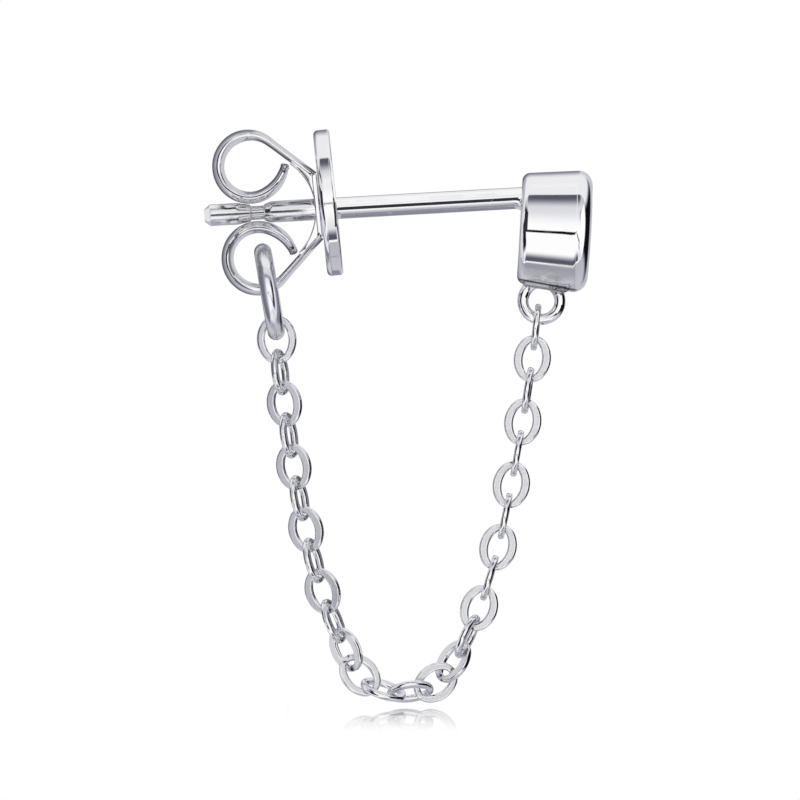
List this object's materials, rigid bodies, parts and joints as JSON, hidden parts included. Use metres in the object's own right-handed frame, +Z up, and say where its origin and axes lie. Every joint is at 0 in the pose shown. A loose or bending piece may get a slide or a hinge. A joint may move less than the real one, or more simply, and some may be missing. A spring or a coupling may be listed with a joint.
{
  "type": "chain stud earring",
  "caption": "Stud earring: a round head on an ear post, a butterfly nut with a wide disc, and a cable chain looped from the head's bail to a jump ring on the nut.",
  "frame": {"origin": "on the ear post's axis, in the middle of the gap that the ear lobe fills", "axes": "+X along the post towards the stud head, rising 3.2 degrees; +Z up, away from the hanging chain; -Y the side that the picture shows"},
  "size_m": [0.0139, 0.0052, 0.0205],
  "materials": {
    "stud_silver": "mirror-polished rhodium-white silver",
    "nut_silver": "mirror-polished rhodium-white silver, with fine rolling lines on the scrolled strip",
    "chain_silver": "polished silver wire, its flat faces diamond-cut"
  },
  "bodies": {
    "root": {"stud": "stud_silver", "ear_nut_disc": "nut_silver", "ear_nut_scroll": "nut_silver", "jump_ring": "chain_silver", "link_01": "chain_silver", "link_02": "chain_silver", "link_03": "chain_silver", "link_04": "chain_silver", "link_05": "chain_silver", "link_06": "chain_silver", "link_07": "chain_silver", "link_08": "chain_silver", "link_09": "chain_silver", "link_10": "chain_silver", "link_11": "chain_silver", "link_12": "chain_silver", "link_13": "chain_silver", "link_14": "chain_silver", "link_15": "chain_silver", "link_16": "chain_silver", "link_17": "chain_silver", "link_18": "chain_silver", "link_19": "chain_silver", "link_20": "chain_silver", "link_21": "chain_silver", "link_22": "chain_silver", "link_23": "chain_silver", "link_24": "chain_silver", "link_25": "chain_silver", "link_26": "chain_silver", "link_27": "chain_silver"}
  },
  "joints": []
}
